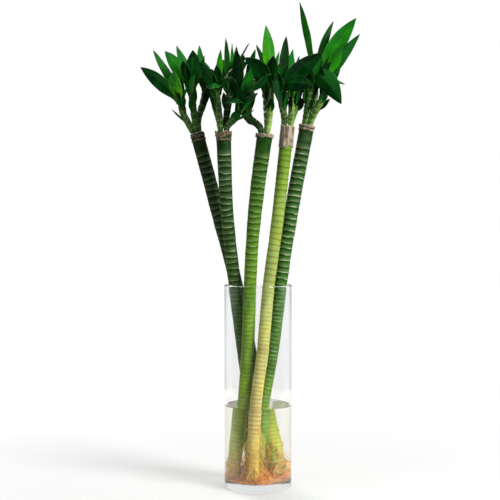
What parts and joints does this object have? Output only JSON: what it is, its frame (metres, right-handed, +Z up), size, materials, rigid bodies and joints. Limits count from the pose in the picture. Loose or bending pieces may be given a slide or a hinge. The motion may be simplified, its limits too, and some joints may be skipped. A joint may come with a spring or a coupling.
{
  "type": "lucky bamboo in a glass vase",
  "caption": "Bare lucky bamboo canes with leafy shoots at their cut tops, rooted in water in a clear glass cylinder vase.",
  "frame": {"origin": "centre of the vase's foot, on the surface that it stands on", "axes": "+Z up; -Y towards the viewer of the picture; +X to that viewer's right"},
  "size_m": [0.321, 0.22, 0.723],
  "materials": {
    "clear_glass": "polished clear glass",
    "water": "clear still water",
    "cane_dark_green": "smooth waxy skin with pale leaf scars",
    "cane_mid_green": "smooth waxy skin with pale leaf scars",
    "cane_lime": "smooth waxy skin, lime to cream, with brown leaf scars",
    "shoot": "waxy stem wrapped in leaf bases",
    "leaf": "glossy leaf with parallel veins",
    "root": "wet orange root",
    "dry_husk": "dry papery husk and cut rim"
  },
  "bodies": {
    "root": {"glass_vase": "clear_glass", "water": "water", "cane_a": "cane_dark_green", "roots_a": "root", "shoot_a1": "shoot", "leaves_a1": "leaf", "shoot_a2": "shoot", "leaves_a2": "leaf", "shoot_a3": "shoot", "leaves_a3": "leaf", "cane_b": "cane_dark_green", "roots_b": "root", "shoot_b1": "shoot", "leaves_b1": "leaf", "shoot_b2": "shoot", "leaves_b2": "leaf", "shoot_b3": "shoot", "leaves_b3": "leaf", "shoot_b4": "shoot", "leaves_b4": "leaf", "cane_c": "cane_mid_green", "roots_c": "root", "shoot_c1": "shoot", "leaves_c1": "leaf", "shoot_c2": "shoot", "leaves_c2": "leaf", "shoot_c3": "shoot", "leaves_c3": "leaf", "cane_d": "cane_lime", "roots_d": "root", "shoot_d1": "shoot", "leaves_d1": "leaf", "shoot_d2": "shoot", "leaves_d2": "leaf", "shoot_d3": "shoot", "leaves_d3": "leaf", "cane_e": "cane_dark_green", "roots_e": "root", "shoot_e1": "shoot", "leaves_e1": "leaf", "shoot_e2": "shoot", "leaves_e2": "leaf", "shoot_e3": "shoot", "leaves_e3": "leaf", "shoot_e4": "shoot", "leaves_e4": "leaf"}
  },
  "joints": []
}
